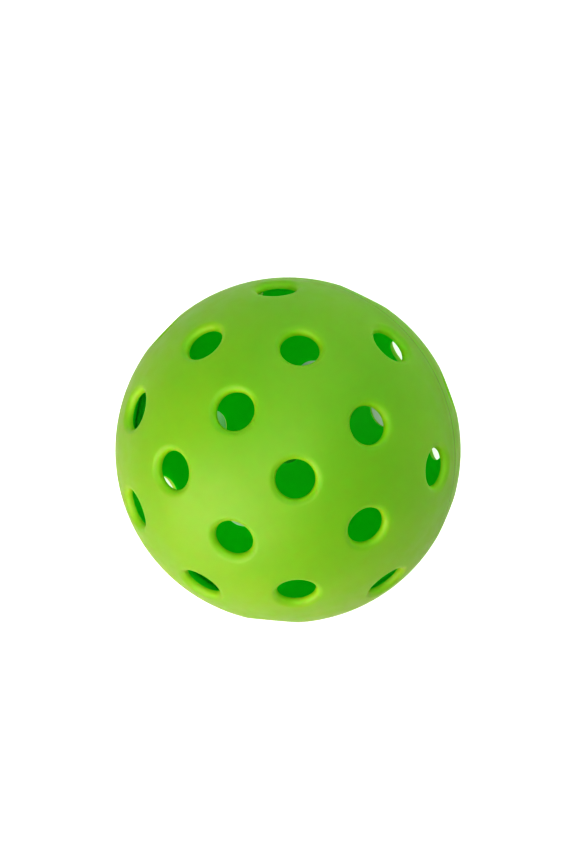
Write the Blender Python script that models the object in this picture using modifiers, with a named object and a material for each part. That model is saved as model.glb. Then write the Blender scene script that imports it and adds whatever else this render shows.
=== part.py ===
"""A 40-hole outdoor pickleball ball, built as the real one is: two moulded half shells and their weld.

Both halves come out of the same mould. The lower one is the upper one turned over, so that its holes
sit between those of the upper one. Each shell is a turned cup of even wall, and each hole is cut by a
pin with a flared end, which leaves the round lip. The weld is the ring of plastic that melted between
the two rims, with the small rolled bead that it leaves inside.

Metres, +Z up. The origin is the ball's centre, and +Z is the mould axis, so the weld lies in the XY
plane. +X goes through the middle of a hole of the ring nearest the top.
"""

import math

import bpy

# Driving dimensions
OUTER_DIAMETER = 0.0740
WALL = 0.0018
HOLE_DIAMETER = 0.0080
LIP_RADIUS = 0.0014  # rounding of a hole's outer edge
WELD_HEIGHT = 0.0010  # remelted ring, as tall as it is seen from outside
BEAD_RADIUS = 0.0004  # each of the two rolls of the bead inside
MESH_GAP = 0.0003  # between meshes that touch on the real ball

# The hole pattern of one half: rings about the mould axis, from the pole to the rim
FIRST_RING_ANGLE = math.radians(21.25)  # from the mould axis
RING_SPACING = math.radians(27.5)
RING_HOLES = (4, 8, 8)
STAGGER = math.radians(22.5)  # ring 2 against rings 1 and 3, and the lower half against the upper

# How finely the round shapes are faceted
TURN_STEPS = 48  # around the ball
OUTER_ARC_STEPS = 15  # pole to rim
INNER_ARC_STEPS = 12
PIN_STEPS = 16  # around a hole
LIP_STEPS = 3
BEAD_STEPS = 4
MERGE_DISTANCE = 0.000001  # joins the points that a turn leaves on its axis
SHARP_ANGLE = math.radians(35)  # edges that turn by more than this are drawn as creases

# Measures that follow from them
OUTER_RADIUS = OUTER_DIAMETER / 2
INNER_RADIUS = OUTER_RADIUS - WALL
HOLE_RADIUS = HOLE_DIAMETER / 2
RIM_HEIGHT = WELD_HEIGHT / 2 + MESH_GAP  # a shell's rim, above or below the weld's middle
LIP_SWEEP = math.radians(70)  # as much of the lip's arc as still meets the sphere at a clear angle
BEAD_SWEEP = math.radians(-144)  # each roll's arc, from the crease between the rolls to its crest
PIN_OVERRUN = 0.0012  # how far a pin reaches past the wall's faces

PLASTIC = {"colour": (0.30, 0.62, 0.045, 1.0), "roughness": 0.5}
REMELTED_PLASTIC = {"colour": (0.24, 0.52, 0.04, 1.0), "roughness": 0.4}


def clear_scene():
    for obj in list(bpy.data.objects):
        bpy.data.objects.remove(obj, do_unlink=True)


def new_collection(name):
    collection = bpy.data.collections.new(name)
    bpy.context.scene.collection.children.link(collection)
    return collection


def new_material(name, finish):
    material = bpy.data.materials.new(name)
    material.use_nodes = True
    shader = material.node_tree.nodes["Principled BSDF"]
    shader.inputs["Base Color"].default_value = finish["colour"]
    shader.inputs["Roughness"].default_value = finish["roughness"]
    shader.inputs["Metallic"].default_value = 0.0
    material.diffuse_color = finish["colour"]
    return material


def arc(centre, radius, start, end, steps):
    """Points (x, z) of an arc. Angles are from +Z towards +X."""
    points = []
    for i in range(steps + 1):
        angle = start + (end - start) * i / steps
        points.append((centre[0] + radius * math.sin(angle), centre[1] + radius * math.cos(angle)))
    return points


def turned(name, profile, steps, collection, start=0.0):
    """An object whose mesh is the profile (x, z), turned about Z from the angle start.

    The profile runs down its outer side, top to bottom.
    """
    outline = bpy.data.meshes.new(name + "_outline")
    edges = [(i, i + 1) for i in range(len(profile) - 1)]
    if profile[0][0] > 0:
        edges.append((len(profile) - 1, 0))  # a ring's profile is a closed loop, clear of the axis
    points = [(x * math.cos(start), x * math.sin(start), z) for x, z in profile]
    outline.from_pydata(points, edges, [])
    obj = bpy.data.objects.new(name, outline)
    collection.objects.link(obj)
    screw = obj.modifiers.new("turn", "SCREW")
    screw.axis = "Z"
    screw.angle = math.tau
    screw.steps = steps
    screw.render_steps = steps
    screw.use_merge_vertices = True
    screw.merge_threshold = MERGE_DISTANCE
    return obj


def bake(obj):
    """Give the object the mesh that its modifiers make."""
    graph = bpy.context.evaluated_depsgraph_get()
    mesh = bpy.data.meshes.new_from_object(obj.evaluated_get(graph))
    outline = obj.data
    obj.modifiers.clear()
    obj.data = mesh
    bpy.data.meshes.remove(outline)
    mesh.name = obj.name


def shade(obj, material):
    obj.data.materials.clear()
    obj.data.materials.append(material)
    obj.data.shade_smooth()
    obj.data.set_sharp_from_angle(angle=SHARP_ANGLE)


def shell_profile():
    """The upper half's section: pole, outer arc, rim, inner arc, and back to the axis."""
    outer_end = math.acos(RIM_HEIGHT / OUTER_RADIUS)
    inner_end = math.acos(RIM_HEIGHT / INNER_RADIUS)
    outer = arc((0, 0), OUTER_RADIUS, 0, outer_end, OUTER_ARC_STEPS)
    inner = arc((0, 0), INNER_RADIUS, inner_end, 0, INNER_ARC_STEPS)
    return outer + inner


def pin_profile():
    """The pin that leaves a hole: a cylinder that flares along the lip's arc, then straight out."""
    lip_x = HOLE_RADIUS + LIP_RADIUS
    lip_z = math.sqrt((OUTER_RADIUS - LIP_RADIUS) ** 2 - lip_x**2)
    quarter = math.radians(90)
    flare = arc((lip_x, lip_z), LIP_RADIUS, LIP_SWEEP - quarter, -quarter, LIP_STEPS)
    top = OUTER_RADIUS + PIN_OVERRUN
    flare_x, flare_z = flare[0]
    outside = (flare_x + PIN_OVERRUN, flare_z + PIN_OVERRUN / math.tan(LIP_SWEEP))
    bottom = INNER_RADIUS - 2 * PIN_OVERRUN
    return [(0, top), (outside[0], top), outside, *flare, (HOLE_RADIUS, bottom), (0, bottom)]


def weld_profile():
    """The weld's section: a flush outer face, a neck between the rims, and two rolls inside."""
    half = WELD_HEIGHT / 2
    neck_x = INNER_RADIUS - MESH_GAP
    roll_x = neck_x - BEAD_RADIUS
    upper_roll = arc((roll_x, BEAD_RADIUS), BEAD_RADIUS, BEAD_SWEEP, 0, BEAD_STEPS)
    lower_roll = [(x, -z) for x, z in reversed(upper_roll)]
    outer = [(OUTER_RADIUS, half), (OUTER_RADIUS, -half), (neck_x, -half)]
    return outer + lower_roll + upper_roll + [(neck_x, half)]


def hole_directions():
    """Each hole of one half, as its angles from the mould axis and around it."""
    for ring, count in enumerate(RING_HOLES):
        tilt = FIRST_RING_ANGLE + ring * RING_SPACING
        offset = STAGGER if ring == 1 else 0.0
        for i in range(count):
            yield tilt, offset + math.tau * i / count


def make_pins(half, frame, pin_mesh, collection):
    for number, (tilt, turn) in enumerate(hole_directions(), start=1):
        pin = bpy.data.objects.new(f"{half}_hole_pin_{number:02d}", pin_mesh)
        pin.rotation_euler = (0.0, tilt, turn)
        pin.parent = frame
        pin.hide_render = True
        pin.display_type = "WIRE"
        collection.objects.link(pin)


def make_half(half, turn_over, pin_mesh, parts, material):
    """One moulding. Its own frame is an empty, turned as the half lies in the ball."""
    frame = bpy.data.objects.new(f"{half}_half_frame", None)
    frame.rotation_euler = turn_over
    parts.objects.link(frame)
    shell = turned(f"{half}_half_shell", shell_profile(), TURN_STEPS, parts)
    shell.parent = frame
    pins = new_collection(f"{half}_hole_pins")
    make_pins(half, frame, pin_mesh, pins)
    cut = shell.modifiers.new("holes", "BOOLEAN")
    cut.operation = "DIFFERENCE"
    cut.solver = "EXACT"
    cut.operand_type = "COLLECTION"
    cut.collection = pins
    bpy.context.view_layer.update()
    bake(shell)
    shade(shell, material)
    return shell


def make_pin_mesh():
    """The mesh that all the pins share. Half a step of turn keeps its edges off the shell's own."""
    helpers = new_collection("pin_master")
    pin = turned("hole_pin", pin_profile(), PIN_STEPS, helpers, start=math.pi / PIN_STEPS)
    bake(pin)
    mesh = pin.data
    bpy.data.objects.remove(pin)
    bpy.data.collections.remove(helpers)
    return mesh


def make_weld(parts, material):
    weld = turned("weld_seam", weld_profile(), TURN_STEPS, parts)
    bake(weld)
    shade(weld, material)
    return weld


def main():
    clear_scene()
    parts = new_collection("pickleball_ball")
    plastic = new_material("moulded_plastic", PLASTIC)
    remelted = new_material("remelted_plastic", REMELTED_PLASTIC)
    pin_mesh = make_pin_mesh()
    make_half("upper", (0.0, 0.0, 0.0), pin_mesh, parts, plastic)
    make_half("lower", (math.pi, 0.0, STAGGER), pin_mesh, parts, plastic)
    make_weld(parts, remelted)


main()
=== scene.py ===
"""Looks of the pickleball ball: moulded shells with round-lipped holes, the weld, the finish and the light.

Each half shell is one closed surface: two spheres, twenty bores with a rounded outer lip and a crisp
inner edge, and a rim. The lower half is the same moulding turned over. Metres, in the frame's axes.
"""

import math

import bmesh
import bpy
import numpy as np
from mathutils import Euler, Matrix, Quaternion, Vector
from mathutils.geometry import delaunay_2d_cdt


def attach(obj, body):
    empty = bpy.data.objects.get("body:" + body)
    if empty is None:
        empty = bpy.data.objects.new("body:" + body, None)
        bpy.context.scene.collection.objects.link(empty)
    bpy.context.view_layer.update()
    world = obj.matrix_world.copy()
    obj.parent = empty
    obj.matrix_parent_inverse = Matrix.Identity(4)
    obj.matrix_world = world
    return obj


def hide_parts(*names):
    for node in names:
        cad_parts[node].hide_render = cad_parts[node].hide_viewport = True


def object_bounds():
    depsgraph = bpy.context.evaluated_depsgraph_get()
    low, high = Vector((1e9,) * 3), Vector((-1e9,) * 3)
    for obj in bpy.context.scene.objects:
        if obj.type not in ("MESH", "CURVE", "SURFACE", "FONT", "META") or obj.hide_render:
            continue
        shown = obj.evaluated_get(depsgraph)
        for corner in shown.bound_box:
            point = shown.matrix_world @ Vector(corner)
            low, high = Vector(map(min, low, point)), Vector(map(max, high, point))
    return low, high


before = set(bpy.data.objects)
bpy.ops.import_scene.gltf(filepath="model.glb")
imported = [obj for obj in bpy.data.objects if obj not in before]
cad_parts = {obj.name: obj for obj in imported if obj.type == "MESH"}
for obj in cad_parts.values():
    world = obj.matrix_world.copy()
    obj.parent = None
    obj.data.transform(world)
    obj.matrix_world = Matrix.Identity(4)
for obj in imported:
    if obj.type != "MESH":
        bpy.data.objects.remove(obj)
cad_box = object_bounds()

# The ball. Its outer radius is the frame's, and the rest are the driving dimensions of the moulding.
LOWEST, HIGHEST = (Vector(corner) for corner in cad_box)
CENTRE = (LOWEST + HIGHEST) / 2
RADIUS = (HIGHEST.z - LOWEST.z) / 2
WALL = 0.0018
INNER_RADIUS = RADIUS - WALL
HOLE_RADIUS = 0.0040
LIP_RADIUS = 0.0014
INNER_EDGE_RADIUS = 0.00012  # the crisp edge that the pin leaves inside
FIRST_RING_ANGLE = math.radians(21.25)  # from the mould axis
RING_SPACING = math.radians(27.5)
RING_HOLES = (4, 8, 8)
STAGGER = math.radians(22.5)  # ring 2 against rings 1 and 3, and the lower half against the upper

# The weld between the rims
SEAM_HALF_HEIGHT = 0.0003  # from the weld's middle to a rim
RIM_ROUNDING = 0.00005
SEAM_CLEARANCE = 0.00001  # between the weld and the rims
SEAM_SINK = 0.00001  # how far the weld's outer face lies below the sphere
CREST_DROP = 0.00004  # how far that face falls off towards the rims
CREST_FLAT = 0.6  # share of its height that doesn't
BEAD_RADIUS = 0.00045
BEAD_REACH = 0.85  # from the neck to a roll's centre, in roll radii
BEAD_CREASE = math.radians(-150)  # each roll's arc, from the crease between the rolls to the neck
BEAD_END = math.radians(50)

# How fine the surfaces are
HOLE_STEPS = 48
LIP_STEPS = 10
EDGE_STEPS = 4
RIM_STEPS = 240
BEAD_STEPS = 14
OUTER_NET = 0.0013  # side of the triangles between the holes
INNER_NET = 0.0018
COLLAR = 0.0006  # plain ring of sphere around each lip
NET_MARGIN = 0.6  # how far the net keeps from holes and rim, in sides of its triangles
WELD_DISTANCE = 1e-7  # points nearer than this are one, in the flat map of the sphere
SHARP_ANGLE = math.radians(40)  # edges that turn by more than this are drawn as creases

# The camera, as angles about the ball, and its lens
VIEW_AZIMUTH = math.radians(27.2)
VIEW_ELEVATION = math.radians(69.1)
VIEW_ROLL = math.radians(-114.9)
VIEW_DISTANCE = 0.4856
VIEW_TILT = math.radians(0.4545)  # the ball sits a little below the middle of the picture
LENS_MM = 94.2
SENSOR_MM = 36

# The floor and the light
FLOOR_RADIUS = 3.0
FLOOR_STEPS = 96
LIGHT_DISTANCE = 0.95
SHADOW_CORE = 0.010  # the painted shadow's full strength ends here, and the shadow at its edge
SHADOW_EDGE = 0.056
FLOOR_GLOW = 0.26  # what the floor and the room shed on the ball, where the camera sees plain white
ROOM_GLOW = 0.08
ROOM_REFLECTION = 0.34
FLOOR_GREY = (0.5, 0.5, 0.5, 1)
SHADOW_GREEN = (0.02, 0.45, 0.02, 1)  # painted shadow, close to the inside's painted green light


# ---------------------------------------------------------------- geometry

class Body:
    """The points and faces of one closed surface while it is put together."""

    def __init__(self):
        self.points = []
        self.faces = []

    def add(self, points):
        """Add points, and return their numbers."""
        first = len(self.points)
        self.points.extend(tuple(p) for p in points)
        return list(range(first, len(self.points)))

    def bridge(self, loop, other):
        """Close the band between two loops of the same number of points."""
        count = len(loop)
        for i in range(count):
            j = (i + 1) % count
            self.faces.append((loop[i], loop[j], other[j], other[i]))

    def bridge_all(self, loops):
        for loop, other in zip(loops, loops[1:]):
            self.bridge(loop, other)

    def make(self, name):
        mesh = bpy.data.meshes.new(name)
        mesh.from_pydata(self.points, [], self.faces)
        obj = bpy.data.objects.new(name, mesh)
        bpy.context.scene.collection.objects.link(obj)
        turn_faces_out(mesh)
        mesh.shade_smooth()
        mesh.set_sharp_from_angle(angle=SHARP_ANGLE)
        return obj


def turn_faces_out(mesh):
    work = bmesh.new()
    work.from_mesh(mesh)
    bmesh.ops.recalc_face_normals(work, faces=work.faces)
    work.to_mesh(mesh)
    work.free()


def hole_axes():
    """The direction of each hole of the upper half, ring by ring."""
    axes = []
    for ring, count in enumerate(RING_HOLES):
        tilt = FIRST_RING_ANGLE + ring * RING_SPACING
        offset = STAGGER if ring == 1 else 0.0
        for i in range(count):
            turn = offset + math.tau * i / count
            axes.append(Euler((0.0, tilt, turn)).to_matrix())
    return axes


def arc(centre, radius, start, end, steps):
    """Points (out, up) of an arc. Angles are from up towards out."""
    turns = (start + (end - start) * i / steps for i in range(steps + 1))
    return [(centre[0] + radius * math.sin(a), centre[1] + radius * math.cos(a)) for a in turns]


def on_sphere(radius, out):
    """The point of a sphere's upper half at that distance from the axis, as (out, up)."""
    return (out, math.sqrt(radius * radius - out * out))


def bore_section():
    """A hole's section, as (out, up) from its own axis: collar, lip, bore, inner edge, inner collar."""
    lip_out = HOLE_RADIUS + LIP_RADIUS
    lip_centre = on_sphere(RADIUS - LIP_RADIUS, lip_out)
    lean = math.atan2(*lip_centre)
    lip = arc(lip_centre, LIP_RADIUS, lean, -math.pi / 2, LIP_STEPS)
    edge_out = HOLE_RADIUS + INNER_EDGE_RADIUS
    edge_centre = on_sphere(INNER_RADIUS + INNER_EDGE_RADIUS, edge_out)
    edge_lean = math.atan2(*edge_centre)
    edge = arc(edge_centre, INNER_EDGE_RADIUS, -math.pi / 2, -math.pi + edge_lean, EDGE_STEPS)
    outer_collar = on_sphere(RADIUS, lip[0][0] + COLLAR)
    inner_collar = on_sphere(INNER_RADIUS, edge[-1][0] + COLLAR)
    middle = (HOLE_RADIUS, (lip[-1][1] + edge[0][1]) / 2)
    return [outer_collar, *lip, middle, *edge, inner_collar]


def rim_section():
    """The rim's section, as (out, up): outer sphere, rounded edge, flat land, inner sphere."""
    up = SEAM_HALF_HEIGHT + RIM_ROUNDING
    centre = (math.sqrt((RADIUS - RIM_ROUNDING) ** 2 - up * up), up)
    lean = math.atan2(*centre)
    edge = arc(centre, RIM_ROUNDING, lean, math.pi, EDGE_STEPS)
    inner_edge = (math.sqrt(INNER_RADIUS**2 - SEAM_HALF_HEIGHT**2), SEAM_HALF_HEIGHT)
    above = up + COLLAR
    outer_collar = (math.sqrt(RADIUS**2 - above**2), above)
    inner_collar = (math.sqrt(INNER_RADIUS**2 - above**2), above)
    return [outer_collar, *edge, inner_edge, inner_collar]


def turned_loops(body, section, steps, basis=None):
    """One loop of points for each point of the section, turned about Z, or about basis's own Z."""
    loops = []
    for out, up in section:
        turns = (math.tau * i / steps for i in range(steps))
        ring = [Vector((out * math.cos(a), out * math.sin(a), up)) for a in turns]
        loops.append(body.add(basis @ p if basis else p for p in ring))
    return loops


def even_points(radius, spacing):
    """Points spread evenly over the upper half of a sphere, on a spiral of golden-angle steps."""
    count = round(4 * math.pi * radius**2 / (spacing**2 * math.sqrt(3) / 2))
    index = np.arange(count // 2) + 0.5
    up = 1 - 2 * index / count
    turn = index * math.pi * (3 - math.sqrt(5))
    out = np.sqrt(1 - up * up)
    return radius * np.stack([out * np.cos(turn), out * np.sin(turn), up], axis=1)


def fill_sphere(body, radius, spacing, hole_loops, rim_loop):
    """Cover a half sphere between its holes' loops and its rim with an even net of triangles.

    The net is made on a flat map of the sphere, the stereographic one, which keeps triangles well shaped.
    """
    points = even_points(radius, spacing)
    keep = points[:, 2] > body.points[rim_loop[0]][2] + spacing * NET_MARGIN
    for loop in hole_loops:
        ring = np.array([body.points[i] for i in loop])
        axis = ring.mean(axis=0)
        axis /= np.linalg.norm(axis)
        hole_angle = math.acos(ring[0] @ axis / radius)
        angle = np.arccos(np.clip(points @ axis / radius, -1, 1))
        keep &= angle > hole_angle + NET_MARGIN * spacing / radius
    numbers = [i for loop in (*hole_loops, rim_loop) for i in loop] + body.add(points[keep])
    flat = []
    for number in numbers:
        x, y, z = body.points[number]
        flat.append(Vector((x / (radius + z), y / (radius + z))))
    edges = []
    first = 0
    hole_of = {}
    for hole, loop in enumerate((*hole_loops, rim_loop)):
        count = len(loop)
        edges.extend((first + i, first + (i + 1) % count) for i in range(count))
        if loop is not rim_loop:
            hole_of.update((first + i, hole) for i in range(count))
        first += count
    _, _, faces, origins, _, _ = delaunay_2d_cdt(flat, edges, [], 0, WELD_DISTANCE)
    for face in faces:
        corners = [origins[i][0] for i in face]
        # A triangle whose corners are all on one hole's loop lies across that hole, and is left out
        holes = {hole_of.get(corner, -1 - corner) for corner in corners}
        if len(holes) > 1:
            body.faces.append(tuple(numbers[corner] for corner in corners))


def make_shell(name, turn_over):
    """One moulding, turned as it lies in the ball."""
    body = Body()
    section = bore_section()
    outer_loops = []
    inner_loops = []
    for basis in hole_axes():
        loops = turned_loops(body, section, HOLE_STEPS, basis)
        body.bridge_all(loops)
        outer_loops.append(loops[0])
        inner_loops.append(loops[-1])
    rim = turned_loops(body, rim_section(), RIM_STEPS)
    body.bridge_all(rim)
    fill_sphere(body, RADIUS, OUTER_NET, outer_loops, rim[0])
    fill_sphere(body, INNER_RADIUS, INNER_NET, inner_loops, rim[-1])
    turn = Euler(turn_over).to_matrix()
    body.points = [turn @ Vector(p) + CENTRE for p in body.points]
    return body.make(name)


def make_weld(name):
    """The remelted ring: a face just below the sphere, a neck between the rims, and two rolls inside."""
    half = SEAM_HALF_HEIGHT - SEAM_CLEARANCE
    face = RADIUS - SEAM_SINK
    neck = INNER_RADIUS - SEAM_CLEARANCE
    roll_out = neck - BEAD_RADIUS * BEAD_REACH
    upper = arc((roll_out, BEAD_RADIUS), BEAD_RADIUS, BEAD_CREASE, BEAD_END, BEAD_STEPS)
    lower = [(out, -up) for out, up in reversed(upper)]
    shoulder = face - CREST_DROP
    flat = half * CREST_FLAT
    crest = [(shoulder, half), (face, flat), (face, -flat), (shoulder, -half)]
    section = [*crest, (neck, -half), *lower, *upper, (neck, half)]
    body = Body()
    loops = turned_loops(body, section, RIM_STEPS)
    body.bridge_all([*loops, loops[0]])
    body.points = [Vector(p) + CENTRE for p in body.points]
    return body.make(name)


# ---------------------------------------------------------------- finishes

def add_node(tree, kind, settings=None, **inputs):
    """Add a shader node. An input is a number, a colour, or the socket that it is linked from.

    It goes by its name, or by its place as i0, i1 and so on.
    """
    node = tree.nodes.new(kind)
    for key, value in (settings or {}).items():
        setattr(node, key, value)
    for key, value in inputs.items():
        socket = node.inputs[int(key[1:])] if key[0] == "i" and key[1:].isdigit() else node.inputs[key]
        if isinstance(value, bpy.types.NodeSocket):
            tree.links.new(value, socket)
        else:
            socket.default_value = value
    return node


def noise(tree, where, size, detail=2.0, roughness=0.5):
    """Noise whose features are about size metres across, from 0 to 1."""
    node = add_node(tree, "ShaderNodeTexNoise", None, Vector=where, Scale=1 / size, Detail=detail,
                    Roughness=roughness)
    return node.outputs["Fac"]


def spread(tree, value, low, high, to_low=0.0, to_high=1.0):
    """Map low and high to to_low and to_high, with a soft step between them."""
    node = add_node(tree, "ShaderNodeMapRange", {"interpolation_type": "SMOOTHSTEP"}, i0=value, i1=low,
                    i2=high, i3=to_low, i4=to_high)
    return node.outputs["Result"]


def mix(tree, share, first, second):
    """The first colour where share is 0, and the second where it is 1."""
    node = add_node(tree, "ShaderNodeMix", {"data_type": "RGBA"}, i0=share, i6=first, i7=second)
    return node.outputs[2]


def new_material(name):
    material = bpy.data.materials.new(name)
    material.use_nodes = True
    return material, material.node_tree, material.node_tree.nodes["Principled BSDF"]


# The plastic's colours: the outside, the lips and bores and the rims with painted light, the weld, and the
# inside as painted green light
LIME = (0.325, 0.645, 0.018, 1)
LIME_DEEP = (0.290, 0.625, 0.015, 1)
# Painted light: the lips and bores are painted brighter and greener for the light that crosses their thin
# edges
EDGE_LIME_PAINTED_LIGHT = (0.39, 0.77, 0.012, 1)
# Painted light: the plastic beside the seam is painted greener and brighter for the light that crosses the
# thin rims
RIM_LIME_PAINTED_LIGHT = (0.27, 0.80, 0.012, 1)
WELD_LIME = (0.29, 0.54, 0.017, 1)
WELD_LIME_DEEP = (0.25, 0.50, 0.014, 1)
# Painted light: the inside is painted deep, bright green for the light that has crossed the wall; the
# plastic itself is lime
INSIDE_PAINTED_GREEN_LIGHT = (0.002, 0.85, 0.001, 1)

SHELL_REACH = 0.004  # how far green light travels in the plastic
WELD_REACH = 0.0005  # less, because the thin ring would lose all of it to the rims
REACH_BY_COLOUR = (0.3, 1.0, 0.1)  # red, green and blue, in shares of that reach

# How large the marks of the finish are
TONE_SIZE = 0.018
SWELL_SIZE = 0.009
PATCH_SIZE = 0.004
GRAIN_SIZE = 0.00035
WELD_TONE_SIZE = 0.003
WELD_STREAK_SIZE = 0.0012
GRAIN_DEPTH = 0.00002
SWELL_DEPTH = 0.0001
WELD_STREAK_DEPTH = 0.00004

# Where the colours meet
INSIDE_FADE = 0.0003  # the inside's painted green light gives way to the bore's colour over this much of the wall
BORE_FADE = (0.0008, 0.0001)  # below the sphere: all of the lips' and bores' painted light, and none
RIM_FADE = (0.0001, 0.0022)  # from the weld's middle: all of the rim's painted light, and none


def let_light_through(shader, reach):
    """Make the plastic translucent: green light crosses the wall, red and blue hardly do."""
    shader.inputs["Subsurface Weight"].default_value = 1.0
    shader.inputs["Subsurface Radius"].default_value = REACH_BY_COLOUR
    shader.inputs["Subsurface Scale"].default_value = reach
    shader.inputs["IOR"].default_value = 1.5


def distance_from_centre(tree, where):
    return add_node(tree, "ShaderNodeVectorMath", {"operation": "LENGTH"}, i0=where).outputs["Value"]


def near_a_bore(tree, distance):
    """1 in the lips and bores, where painted light stands for the light that also comes in from the side,
    and 0 elsewhere.
    """
    deep, shallow = BORE_FADE
    return spread(tree, distance, RADIUS - deep, RADIUS - shallow, 1.0, 0.0)


def near_the_seam(tree, where):
    """1 at the rim, where its painted light is, fading to 0 some 2 mm away from it."""
    up = add_node(tree, "ShaderNodeSeparateXYZ", None, i0=where).outputs["Z"]
    off_seam = add_node(tree, "ShaderNodeMath", {"operation": "ABSOLUTE"}, i0=up).outputs[0]
    return spread(tree, off_seam, *RIM_FADE, 1.0, 0.0)


def shell_material():
    """Satin lime plastic with a fine moulded grain and patches of other gloss; the inside is painted green
    light, and the lips, bores and rim are painted brighter.
    """
    material, tree, shader = new_material("lime_moulded_plastic")
    where = add_node(tree, "ShaderNodeTexCoord").outputs["Object"]
    distance = distance_from_centre(tree, where)
    inside = spread(tree, distance, INNER_RADIUS + INSIDE_FADE / 10, INNER_RADIUS + INSIDE_FADE, 1.0, 0.0)
    tone = spread(tree, noise(tree, where, TONE_SIZE, 3.0), 0.35, 0.65)
    outer = mix(tree, tone, LIME_DEEP, LIME)
    # Painted light beside the seam
    rimmed = mix(tree, near_the_seam(tree, where), outer, RIM_LIME_PAINTED_LIGHT)
    # Painted light in the lips and bores
    edged = mix(tree, near_a_bore(tree, distance), rimmed, EDGE_LIME_PAINTED_LIGHT)
    # Painted light: the inside's green stands for light that has crossed the wall
    tree.links.new(mix(tree, inside, edged, INSIDE_PAINTED_GREEN_LIGHT), shader.inputs["Base Color"])
    patch = noise(tree, where, PATCH_SIZE, 4.0)
    tree.links.new(spread(tree, patch, 0.3, 0.7, 0.38, 0.50), shader.inputs["Roughness"])
    grain = noise(tree, where, GRAIN_SIZE, 3.0, 0.6)
    swell = noise(tree, where, SWELL_SIZE, 2.0)
    fine = add_node(tree, "ShaderNodeBump", None, Height=grain, Strength=0.25, Distance=GRAIN_DEPTH)
    wave = add_node(tree, "ShaderNodeBump", None, Height=swell, Strength=0.3, Distance=SWELL_DEPTH,
                    Normal=fine.outputs["Normal"])
    tree.links.new(wave.outputs["Normal"], shader.inputs["Normal"])
    let_light_through(shader, SHELL_REACH)
    return material


def weld_material():
    """The same plastic once melted: a little deeper and glossier."""
    material, tree, shader = new_material("lime_remelted_plastic")
    where = add_node(tree, "ShaderNodeTexCoord").outputs["Object"]
    distance = distance_from_centre(tree, where)
    inside = spread(tree, distance, INNER_RADIUS, INNER_RADIUS + INSIDE_FADE, 1.0, 0.0)
    tone = spread(tree, noise(tree, where, WELD_TONE_SIZE, 3.0), 0.35, 0.65)
    outer = mix(tree, tone, WELD_LIME_DEEP, WELD_LIME)
    # Painted light: the weld's inside is painted green for light that has crossed the wall
    tree.links.new(mix(tree, inside, outer, INSIDE_PAINTED_GREEN_LIGHT), shader.inputs["Base Color"])
    streak = noise(tree, where, WELD_STREAK_SIZE, 3.0)
    tree.links.new(spread(tree, streak, 0.3, 0.7, 0.28, 0.40), shader.inputs["Roughness"])
    bump = add_node(tree, "ShaderNodeBump", None, Height=streak, Strength=0.4, Distance=WELD_STREAK_DEPTH)
    tree.links.new(bump.outputs["Normal"], shader.inputs["Normal"])
    let_light_through(shader, WELD_REACH)
    return material


def dress(obj, material, node):
    """Give the piece its finish and its body, and hide the CAD node that it stands for."""
    obj.data.materials.append(material)
    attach(obj, "root")
    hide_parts(node)


# ---------------------------------------------------------------- camera, floor and light

def camera_turn():
    """The camera's axes: right, up and towards the viewer."""
    flat = math.cos(VIEW_ELEVATION)
    towards = Vector((flat * math.cos(VIEW_AZIMUTH), flat * math.sin(VIEW_AZIMUTH),
                      math.sin(VIEW_ELEVATION)))
    level = (-towards).to_track_quat("-Z", "Y")
    return level @ Quaternion((0, 0, 1), VIEW_ROLL)


def add_camera():
    data = bpy.data.cameras.new("camera")
    data.lens = LENS_MM
    data.sensor_width = SENSOR_MM
    data.clip_start = 0.01
    camera = bpy.data.objects.new("camera", data)
    turn = camera_turn()
    camera.rotation_mode = "QUATERNION"
    camera.rotation_quaternion = turn @ Quaternion((1, 0, 0), VIEW_TILT)
    camera.location = CENTRE + turn @ Vector((0, 0, VIEW_DISTANCE))
    bpy.context.scene.collection.objects.link(camera)
    bpy.context.scene.camera = camera


def add_soft_light(name, direction, size, power, colour):
    """A round soft box in that direction (right, up, towards the viewer) from the ball, aimed at it."""
    data = bpy.data.lights.new(name, "AREA")
    data.shape = "DISK"
    data.size = size
    data.energy = power
    data.color = colour
    light = bpy.data.objects.new(name, data)
    place = camera_turn() @ (Vector(direction).normalized() * LIGHT_DISTANCE)
    light.location = CENTRE + place
    light.rotation_mode = "QUATERNION"
    light.rotation_quaternion = (-place).to_track_quat("-Z", "Y")
    bpy.context.scene.collection.objects.link(light)


def by_ray(tree, kind, then, otherwise):
    """One number for the rays of that kind, and another for the rest."""
    ray = add_node(tree, "ShaderNodeLightPath").outputs[kind]
    return add_node(tree, "ShaderNodeMix", {"data_type": "FLOAT"}, i0=ray, i2=otherwise, i3=then).outputs[0]


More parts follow.
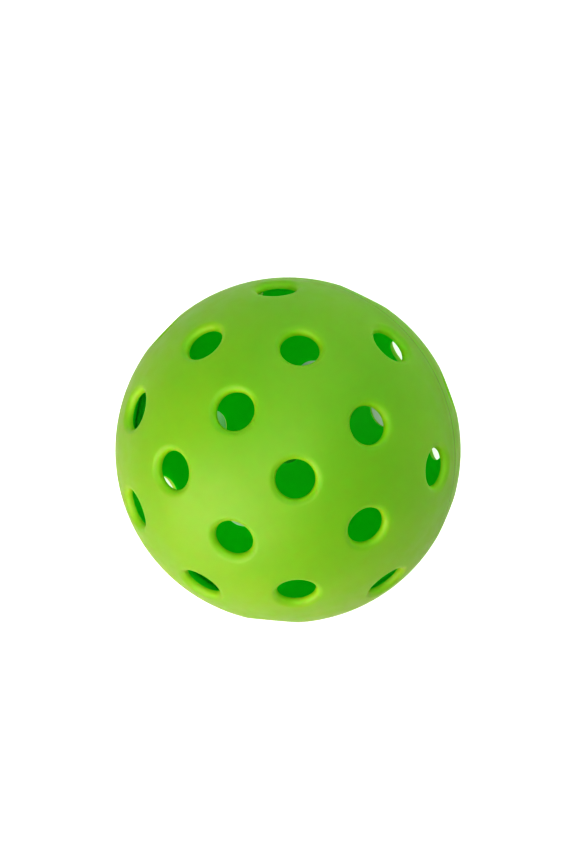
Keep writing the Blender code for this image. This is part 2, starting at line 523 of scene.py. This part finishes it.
def add_floor():
    """A white floor with a painted green shadow, which doesn't come from the lights.

    The shadow's middle lies away from the camera's own angle, so that the ball hides it from there. From
    other angles it shows beside the ball. The floor's white is likewise for the camera's rays only.
    """
    bpy.ops.mesh.primitive_circle_add(vertices=FLOOR_STEPS, radius=FLOOR_RADIUS, fill_type="NGON",
                                      location=(CENTRE.x, CENTRE.y, LOWEST.z))
    floor = bpy.context.object
    floor.name = "pale_floor"
    material, tree, shader = new_material("pale_floor")
    shader.inputs["Roughness"].default_value = 0.9
    shader.inputs["Emission Color"].default_value = (1, 1, 1, 1)
    where = add_node(tree, "ShaderNodeTexCoord").outputs["Object"]
    behind = RADIUS / math.tan(VIEW_ELEVATION)
    middle = (-behind * math.cos(VIEW_AZIMUTH), -behind * math.sin(VIEW_AZIMUTH), 0)
    from_shadow = add_node(tree, "ShaderNodeVectorMath", {"operation": "SUBTRACT"}, i0=where, i1=middle)
    distance = distance_from_centre(tree, from_shadow.outputs["Vector"])
    clear = spread(tree, distance, SHADOW_CORE, SHADOW_EDGE)
    tree.links.new(mix(tree, clear, SHADOW_GREEN, FLOOR_GREY), shader.inputs["Base Color"])
    tree.links.new(by_ray(tree, "Is Camera Ray", clear, FLOOR_GLOW), shader.inputs["Emission Strength"])
    floor.data.materials.append(material)


def add_world():
    """A room that the camera sees as plain white, and that sheds a low, even light."""
    world = bpy.data.worlds.new("studio")
    world.use_nodes = True
    tree = world.node_tree
    background = tree.nodes["Background"]
    background.inputs["Color"].default_value = (1, 1, 1, 1)
    shed = by_ray(tree, "Is Glossy Ray", ROOM_REFLECTION, ROOM_GLOW)
    tree.links.new(by_ray(tree, "Is Camera Ray", 1.0, shed), background.inputs["Strength"])
    bpy.context.scene.world = world


def add_lights():
    add_soft_light("key", (-0.50, -0.50, 0.70), 1.4, 4.7, (1.0, 0.75, 0.70))
    add_soft_light("low", (-0.68, -0.60, 0.35), 1.1, 4.2, (1.0, 0.77, 0.90))
    add_soft_light("front", (0.0, 0.0, 1.0), 0.7, 1.95, (0.75, 1.0, 0.60))
    add_soft_light("top", (0.20, 0.75, 0.60), 1.2, 1.9, (0.66, 1.0, 0.82))


def set_view():
    bpy.context.scene.view_settings.view_transform = "Standard"
    bpy.context.scene.view_settings.look = "High Contrast"


upper = make_shell("upper_shell_moulding", (0.0, 0.0, 0.0))
lower = make_shell("lower_shell_moulding", (math.pi, 0.0, STAGGER))
weld = make_weld("weld_ring_and_bead")
plastic = shell_material()
dress(upper, plastic, "upper_half_shell")
dress(lower, plastic, "lower_half_shell")
dress(weld, weld_material(), "weld_seam")

add_camera()
add_floor()
add_world()
add_lights()
set_view()
